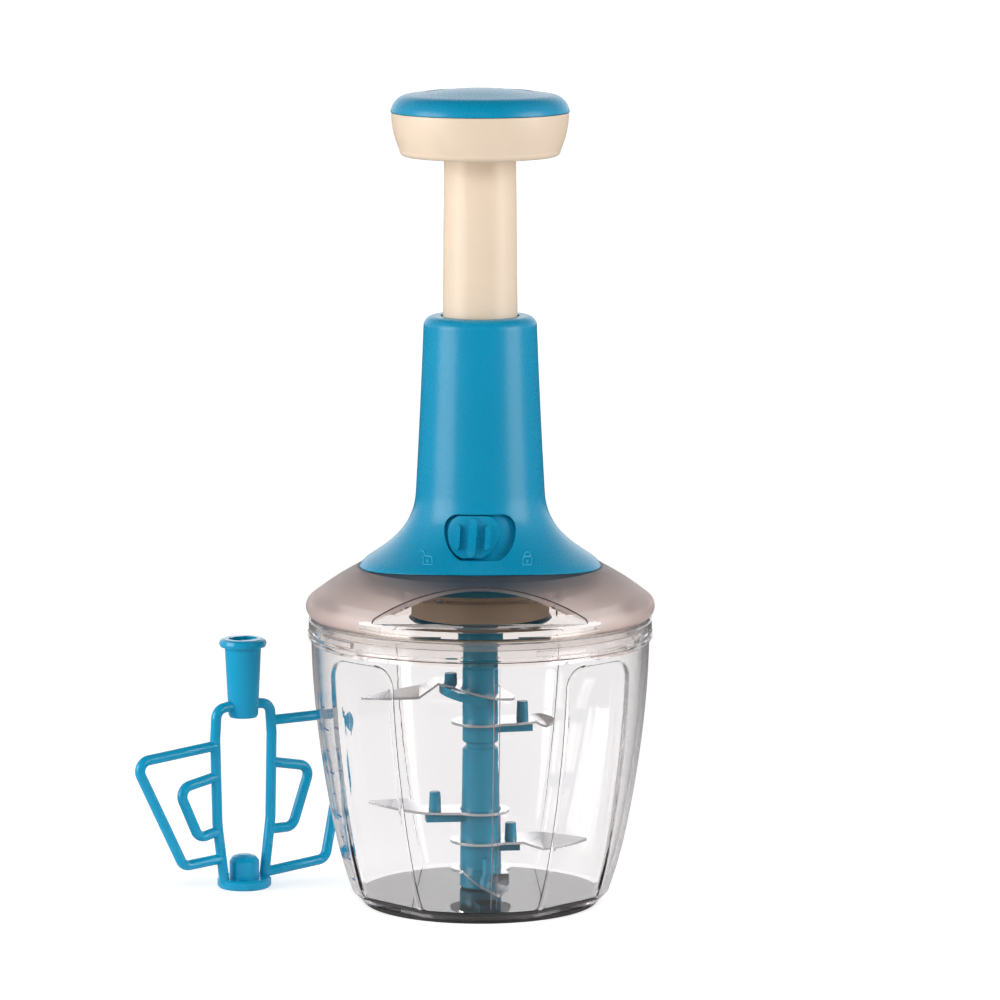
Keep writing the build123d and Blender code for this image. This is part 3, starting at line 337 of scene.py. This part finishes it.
# A darker copy of BLUE, painted shade on the case cover under the cup
BLUE_DEEP_SHADED = (0.004, 0.07, 0.11)
# Near-black, painted shade along the lid's window edge
WINDOW_EDGE_SHADE = (0.055, 0.042, 0.045)
# Grey, painted shade on the edges of the bowl's clear front rib
RIB_SHADE_GREY = (0.21, 0.18, 0.185)
CREAM = (0.80, 0.645, 0.495)
WHITE = (0.76, 0.755, 0.73)
CLEAR = (0.985, 0.98, 0.98)

materials = {
    "blue": plastic("blue_satin", BLUE, 0.29, 0.5 * MM, grain=0.03, ior=1.4),
    "blue_gloss_lit": plastic("blue_gloss_lit", BLUE_WHISK_LIT, 0.13, 0.3 * MM, grain=0.05),
    "blue_sign_highlight": plastic("blue_sign_highlight", BLUE_SIGN_HIGHLIGHT, 0.3),
    "smoke_edge_shade": plastic("smoke_edge_shade", WINDOW_EDGE_SHADE, 0.3),
    "grey_edge_shade": plastic("grey_edge_shade", RIB_SHADE_GREY, 0.2),
    "blue_fine": plastic("blue_fine", BLUE, 0.28, grain=0.12),
    "blue_inner_shaded": plastic("blue_inner_shaded", BLUE_INNER_SHADED, 0.24, 0.3 * MM, grain=0.08),
    "blue_deep_shaded": plastic("blue_deep_shaded", BLUE_DEEP_SHADED, 0.24, 0.3 * MM, grain=0.08),
    "cream": plastic("cream_satin", CREAM, 0.36, 0.5 * MM),
    "white": plastic("acetal_white", WHITE, 0.38, 0.3 * MM),
    "bowl": clear_plastic("clear_bowl", CLEAR, (0.97, 0.962, 0.96, 1), (0.7, 0.54, 0.56, 1), 20.0),
    "lid": frosted_lid("smoked_lid"),
    "cup": frosted("smoked_cup", (0.62, 0.50, 0.38), 0.4, 0.5, (0.6, 0.52, 0.44, 1)),
    "seal": frosted("silicone_seal", (0.87, 0.84, 0.82), 0.12, 0.93, (0.88, 0.86, 0.84, 1),
                    ior=1.12),
    "rubber": rubber("foot_rubber", (0.011, 0.0095, 0.009, 1), (0.028, 0.025, 0.023, 1)),
    "blade": steel("blade_steel", (0.78, 0.78, 0.79), 0.16, (900.0, 60.0, 60.0)),
    "zinc": steel("zinc_steel", (0.62, 0.625, 0.64), 0.28, (300.0, 300.0, 300.0)),
    "ink": printed_ink("blue_ink", (0.02, 0.07, 0.20, 1), (0.035, 0.12, 0.29, 1)),
}
finishes = {
    "blue": ["housing", "knob_cap"],
    "blue_fine": ["lock_slider", "lock_catch"],
    "blue_gloss_lit": ["whisk"],
    "blue_inner_shaded": ["upper_hub", "lower_hub", "output_shaft"],
    "blue_deep_shaded": ["case_cover"],
    "cream": ["knob_shell", "plunger_tube"],
    "white": ["mechanism_core", "drive_nut", "clutch_ring"],
    "bowl": ["bowl"],
    "lid": ["lid"],
    "cup": ["drive_cup"],
    "seal": ["lid_seal"],
    "rubber": ["anti_slip_base"],
    "blade": ["blade_1", "blade_2", "blade_3", "blade_4", "blade_5", "pivot_pin"],
    "zinc": ["lid_screws", "core_screws", "cup_screws", "knob_screws", "rod_screw",
             "spiral_rod", "spring_seat", "thrust_washer"],
}
for key, names in finishes.items():
    for name in names:
        for material_slot in nodes[name].material_slots:
            material_slot.material = materials[key]

# ---------------------------------------------------------------- piece helpers


def mesh_piece(name, bm, material, body, smooth=True):
    """A piece from a bmesh, riding on a body."""
    mesh = bpy.data.meshes.new(name)
    bmesh.ops.recalc_face_normals(bm, faces=bm.faces)
    bm.to_mesh(mesh)
    bm.free()
    for polygon in mesh.polygons:
        polygon.use_smooth = smooth
    mesh.materials.append(materials[material])
    piece = bpy.data.objects.new(name, mesh)
    scene.collection.objects.link(piece)
    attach(piece, body)
    return piece


def tube_along(bm, points, radius, sides=8, closed=False):
    """Round tube of a wire through points, with flat ends, or joined into a loop."""
    rings = []
    count = len(points)
    side = Vector((0, 0, 1))
    for index, point in enumerate(points):
        if closed:
            before, after = points[index - 1], points[(index + 1) % count]
        else:
            before, after = points[max(0, index - 1)], points[min(count - 1, index + 1)]
        along = (after - before).normalized()
        side = (side - along * side.dot(along)).normalized()
        other = along.cross(side)
        ring = []
        for step in range(sides):
            turn = 2 * math.pi * step / sides
            ring.append(bm.verts.new(
                point + radius * (math.cos(turn) * side + math.sin(turn) * other)))
        rings.append(ring)
    pairs = list(zip(rings, rings[1:]))
    if closed:
        pairs.append((rings[-1], rings[0]))
    for first, second in pairs:
        for step in range(sides):
            following = (step + 1) % sides
            bm.faces.new((first[step], first[following], second[following], second[step]))
    if not closed:
        bm.faces.new(rings[0])
        bm.faces.new(list(reversed(rings[-1])))


class Skin:
    """A CAD node's outer surface."""

    OUTSIDE = 0.2    # rays start this far from the axis, outside the whole object

    def __init__(self, node):
        data = nodes[node].data
        self.tree = BVHTree.FromPolygons(
            [v.co for v in data.vertices], [p.vertices for p in data.polygons])

    def point(self, azimuth, z, lift=0.0):
        """The outermost point at an azimuth and height."""
        outwards = Vector((math.cos(azimuth), math.sin(azimuth), 0))
        found, normal, _, _ = self.tree.ray_cast(
            outwards * self.OUTSIDE + Vector((0, 0, z)), -outwards)
        return found + normal * lift

    def beside(self, azimuth, z, across, up=0.0, lift=0.0):
        """The point across and up, along the skin, from the one at an azimuth and height."""
        centre = self.point(azimuth, z)
        radius = math.hypot(centre.x, centre.y)
        return self.point(azimuth + across / radius, z + up, lift)

    def before(self, x, z):
        """The point that is met first from the front."""
        return self.tree.ray_cast(Vector((x, -self.OUTSIDE, z)), Vector((0, 1, 0)))[0]


def arc_points(centre, radius, start, end, steps):
    """Points of a flat arc, angles in degrees."""
    made = []
    for index in range(steps + 1):
        angle = math.radians(start + (end - start) * index / steps)
        made.append((centre[0] + radius * math.cos(angle), centre[1] + radius * math.sin(angle)))
    return made


# ---------------------------------------------------------------- return spring

SPRING_WIRE = 0.65 * MM
SPRING_TURNS = 25
SPRING_STEPS = 20            # points in each turn
END_TURNS = 1.5              # closed turns at each end
END_SPACING = 1.05           # their spacing in wire diameters


def spring_route(low, high):
    """Line of a coil in a box, closed at its ends and open between them."""
    coil_radius = high.x - SPRING_WIRE
    length = high.z - low.z - 2 * SPRING_WIRE
    closed = END_TURNS / SPRING_TURNS
    pitch = 2 * SPRING_WIRE * END_SPACING * SPRING_TURNS / length
    points = []
    for index in range(SPRING_TURNS * SPRING_STEPS + 1):
        share = index / (SPRING_TURNS * SPRING_STEPS)
        if share < closed:
            rise = pitch * share
        elif share > 1 - closed:
            rise = 1 - pitch * (1 - share)
        else:
            middle = (share - closed) / (1 - 2 * closed)
            rise = pitch * closed + middle * (1 - 2 * pitch * closed)
        angle = 2 * math.pi * SPRING_TURNS * share
        points.append(Vector((coil_radius * math.cos(angle), coil_radius * math.sin(angle),
                              low.z + SPRING_WIRE + rise * length)))
    return points


low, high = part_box("return_spring")
spring_mesh = bmesh.new()
tube_along(spring_mesh, spring_route(low, high), SPRING_WIRE, sides=10)
spring = mesh_piece("spring_coil", spring_mesh, "zinc", "plunger")
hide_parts("return_spring")
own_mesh(spring)

# ---------------------------------------------------------------- padlock signs
# Raised lines on the flare, open at the left and shut at the right, in a paler blue: a painted
# highlight.
# Millimetres, across and up from the sign's place.

CASE_HALF, CASE_LOW, CASE_HIGH, CASE_ROUND = 1.7, -1.9, 0.7, 0.4
BOW_RADIUS = 1.15
BOW_RISE = 0.4               # straight legs under the bow's arc
KEYHOLE = (0, -0.8)
KEYHOLE_RADIUS = 0.3
SIGN_HEIGHT = 140.8
OPEN_ACROSS, SHUT_ACROSS = -20.1, 18.1
SIGN_LINE = 0.28             # radius of the raised line

case = []
for cx, cy, start in ((CASE_HALF - CASE_ROUND, CASE_HIGH - CASE_ROUND, 0),
                      (-CASE_HALF + CASE_ROUND, CASE_HIGH - CASE_ROUND, 90),
                      (-CASE_HALF + CASE_ROUND, CASE_LOW + CASE_ROUND, 180),
                      (CASE_HALF - CASE_ROUND, CASE_LOW + CASE_ROUND, 270)):
    case += arc_points((cx, cy), CASE_ROUND, start, start + 90, 4)
shut_bow = [(BOW_RADIUS, CASE_HIGH)]
shut_bow += arc_points((0, CASE_HIGH + BOW_RISE), BOW_RADIUS, 0, 180, 12)
shut_bow.append((-BOW_RADIUS, CASE_HIGH))
# The open bow stands on its right leg, outside the case
open_bow = [(u - 2 * BOW_RADIUS, v) for u, v in shut_bow[:-2]]
keyhole = arc_points(KEYHOLE, KEYHOLE_RADIUS, 0, 330, 11)

flare = Skin("housing")
for name, across, bow in (("padlock_open", OPEN_ACROSS, open_bow),
                          ("padlock_shut", SHUT_ACROSS, shut_bow)):
    sign = bmesh.new()
    for line, closed in ((case, True), (bow, False), (keyhole, True)):
        route = [flare.before((across + u) * MM, (SIGN_HEIGHT + v) * MM) for u, v in line]
        tube_along(sign, route, SIGN_LINE * MM, closed=closed)
    mesh_piece(name, sign, "blue_sign_highlight", "lid")

# ---------------------------------------------------------------- window edge shade

EDGE_RADIUS = 0.26 * MM
EDGE_TOLERANCE = 0.02 * MM

# The lid's own vertices on the window's plane, where it meets the dome
edge_points = []
for vertex in nodes["lid"].data.vertices:
    place = vertex.co
    behind = place.y - (place.z - LEDGE_TOP) * math.tan(WINDOW_LEAN) - WINDOW_FOOT
    if place.z > LEDGE_TOP and abs(behind - PANE_OFFSET) < EDGE_TOLERANCE:
        edge_points.append(place.copy())
edge_points.sort(key=lambda place: place.x)
# A near-black line along them, painted shade of the window's edge
window_edge_shade = bmesh.new()
tube_along(window_edge_shade, edge_points, EDGE_RADIUS)
mesh_piece("window_edge_shade", window_edge_shade, "smoke_edge_shade", "lid")

# ---------------------------------------------------------------- measuring marks
# Printed on the left of the bowl. Millimetres.

SCALE_AZIMUTH = math.radians(-162.0)
SCALE_BOTTOM = 12.0
SCALE_STEP = 8.6
SCALE_MARKS = 9
MARK_START = 1.0
SHORT_MARK, LONG_MARK = 3.2, 5.5
MARK_HALF = 0.35             # half of a mark's height
MARK_COLUMNS = 4
DIGIT_SIZE = 4.6
DIGIT_GAP = 0.2
DIGIT_DROP = 1.6             # from a mark's middle to its digits' foot
INK_LIFT = 0.05

wall = Skin("bowl")
prints = bmesh.new()


def printed_vertex(across, z, up=0.0):
    """Vertex on the print; across and up are in metres, z in millimetres."""
    return prints.verts.new(
        wall.beside(SCALE_AZIMUTH, z * MM, across, up, INK_LIFT * MM))


def printed_mark(start, end, low, high):
    """Thin inked rectangle that follows the wall."""
    rows = [[printed_vertex((start + (end - start) * column / MARK_COLUMNS) * MM, z)
             for column in range(MARK_COLUMNS + 1)] for z in (low, high)]
    for column in range(MARK_COLUMNS):
        prints.faces.new((rows[0][column], rows[0][column + 1],
                          rows[1][column + 1], rows[1][column]))


def printed_number(text, z):
    """Digits that end just before the marks."""
    words = bpy.data.curves.new("digits", "FONT")
    words.body = text
    words.size = DIGIT_SIZE * MM
    words.align_x = "RIGHT"
    holder = bpy.data.objects.new("digits", words)
    flat = bpy.data.meshes.new_from_object(holder)
    made = {vertex.index: printed_vertex(vertex.co.x - DIGIT_GAP * MM, z,
                                         vertex.co.y - DIGIT_DROP * MM)
            for vertex in flat.vertices}
    for polygon in flat.polygons:
        prints.faces.new([made[index] for index in polygon.vertices])
    bpy.data.objects.remove(holder)
    bpy.data.meshes.remove(flat)


for number in range(SCALE_MARKS):
    z = SCALE_BOTTOM + SCALE_STEP * number
    reach = LONG_MARK if number % 2 else SHORT_MARK
    printed_mark(MARK_START, MARK_START + reach, z - MARK_HALF, z + MARK_HALF)
for number in range(1, SCALE_MARKS, 2):
    printed_number(str(100 * (number + 1)), SCALE_BOTTOM + SCALE_STEP * number)
bmesh.ops.triangulate(prints, faces=prints.faces)
mesh_piece("measuring_marks", prints, "ink", "bowl", smooth=False)

# ---------------------------------------------------------------- rib edge shade
# Painted shade: grey lines on the edges of the bowl's front rib, joined round its upper end.
# Millimetres.

RIB_AZIMUTH = math.radians(-84.3)
RIB_HALF = 1.05
RIB_LOW, RIB_END = 7.0, 96.3
RIB_STEP, RIB_STEPS = 4.0, 23
RIB_LINE = 0.16              # radius of the grey line of painted shade
rib_heights = [RIB_LOW + RIB_STEP * step for step in range(RIB_STEPS)]
rib_route = [(-RIB_HALF, z) for z in rib_heights]
rib_route += [(-u, z) for u, z in arc_points((0, RIB_END), RIB_HALF, 0, 180, 8)]
rib_route += [(RIB_HALF, z) for z in reversed(rib_heights)]
rib_edge_shade = bmesh.new()
tube_along(rib_edge_shade, [wall.beside(RIB_AZIMUTH, z * MM, u * MM) for u, z in rib_route],
           RIB_LINE * MM)
mesh_piece("rib_edge_shade", rib_edge_shade, "grey_edge_shade", "bowl")

# ---------------------------------------------------------------- camera and lamps

CAMERA_PLACE = (0.0077, -2.2, 0.47)
CAMERA_DOWN = 8.047          # degrees
CAMERA_LENS = 204.8          # on a 36 mm sensor

camera_data = bpy.data.cameras.new("camera")
camera_data.sensor_width = 36.0
camera_data.lens = CAMERA_LENS
camera_data.clip_end = 50.0
camera = bpy.data.objects.new("camera", camera_data)
camera.location = CAMERA_PLACE
camera.rotation_euler = (math.radians(90 - CAMERA_DOWN), 0.0, 0.0)
scene.collection.objects.link(camera)
scene.camera = camera
scene.view_settings.view_transform = "Standard"

LAMP_TARGET = Vector((0, 0, 0.2))


def lamp(name, place, size, power, mirrored=True):
    """Softbox that faces the object; one that isn't mirrored shows in no gloss or glass."""
    data = bpy.data.lights.new(name, "AREA")
    data.shape = "RECTANGLE"
    data.size, data.size_y = size
    data.energy = power
    made = bpy.data.objects.new(name, data)
    made.location = place
    made.visible_glossy = mirrored
    made.visible_transmission = mirrored
    made.rotation_euler = (LAMP_TARGET - Vector(place)).to_track_quat("-Z", "Y").to_euler()
    scene.collection.objects.link(made)


lamp("left_softbox", (-1.5, -0.6, 0.45), (1.15, 1.1), 19.5)
lamp("right_softbox", (1.5, -0.55, 0.45), (1.0, 1.1), 15.0)
lamp("front_fill", (-0.1, -2.0, 1.35), (1.2, 0.8), 13.0, mirrored=False)

# ---------------------------------------------------------------- world and floor


def seen_paths(shader):
    """1 for rays by which the camera sees a surface, straight or through glass."""
    path = shader.node("ShaderNodeLightPath").outputs
    bounced = shader.maths("ADD", path["Glossy Depth"], path["Diffuse Depth"])
    seen = shader.maths("MAXIMUM", path["Is Camera Ray"], path["Is Transmission Ray"])
    return shader.maths("MULTIPLY", seen, shader.maths("LESS_THAN", bounced, 0.5))


world = bpy.data.worlds.new("studio")
scene.world = world
world.use_nodes = True
studio = Shader.over(world.node_tree)
direction = studio.node("ShaderNodeTexCoord").outputs["Generated"]
side, ahead, _ = studio.node("ShaderNodeSeparateXYZ", {0: direction}).outputs
# The room is bright at the sides and behind, and dark on the camera's side
walls = studio.remap(studio.maths("ABSOLUTE", side), 0.06, 0.75, 0.35, 0.95)
back = studio.remap(ahead, 0.0, 1.5, 0.6, 1.0)
room = studio.background((0.98, 0.99, 1.0, 1), studio.maths("ADD", walls, back))
white = studio.background((1, 1, 1, 1), 1.0)
studio.node("ShaderNodeOutputWorld", {
    "Surface": studio.blend_shaders(seen_paths(studio), room, white)})

FLOOR_HALF = 12.0
PAPER = (0.86, 0.86, 0.86, 1)

floor_mesh = bmesh.new()
bmesh.ops.create_grid(floor_mesh, x_segments=1, y_segments=1, size=FLOOR_HALF)
floor_data = bpy.data.meshes.new("floor")
floor_mesh.to_mesh(floor_data)
floor_mesh.free()
floor = bpy.data.objects.new("floor", floor_data)
scene.collection.objects.link(floor)
paper = Shader("paper")
away = paper.length(paper.place)
# Seen by the camera, the paper glows to white away from the object, and keeps its shadow
matt = paper.node("ShaderNodeBsdfDiffuse", {"Color": PAPER}).outputs[0]
glow = paper.emission(
    paper.maths("MULTIPLY", seen_paths(paper), paper.remap(away, 0.5, 0.9, 0.3, 2.5)))
seen = paper.node("ShaderNodeAddShader", {0: matt, 1: glow}).outputs[0]
# Reflections see pale paper only near the object
mirrored = paper.emission(paper.remap(away, 0.55, 0.04, 0.15, 0.9))
only_mirrored = paper.maths(
    "MULTIPLY", paper.node("ShaderNodeLightPath").outputs["Is Glossy Ray"],
    paper.maths("SUBTRACT", 1.0, seen_paths(paper)))
floor_data.materials.append(paper.finish(paper.blend_shaders(only_mirrored, seen, mirrored)))
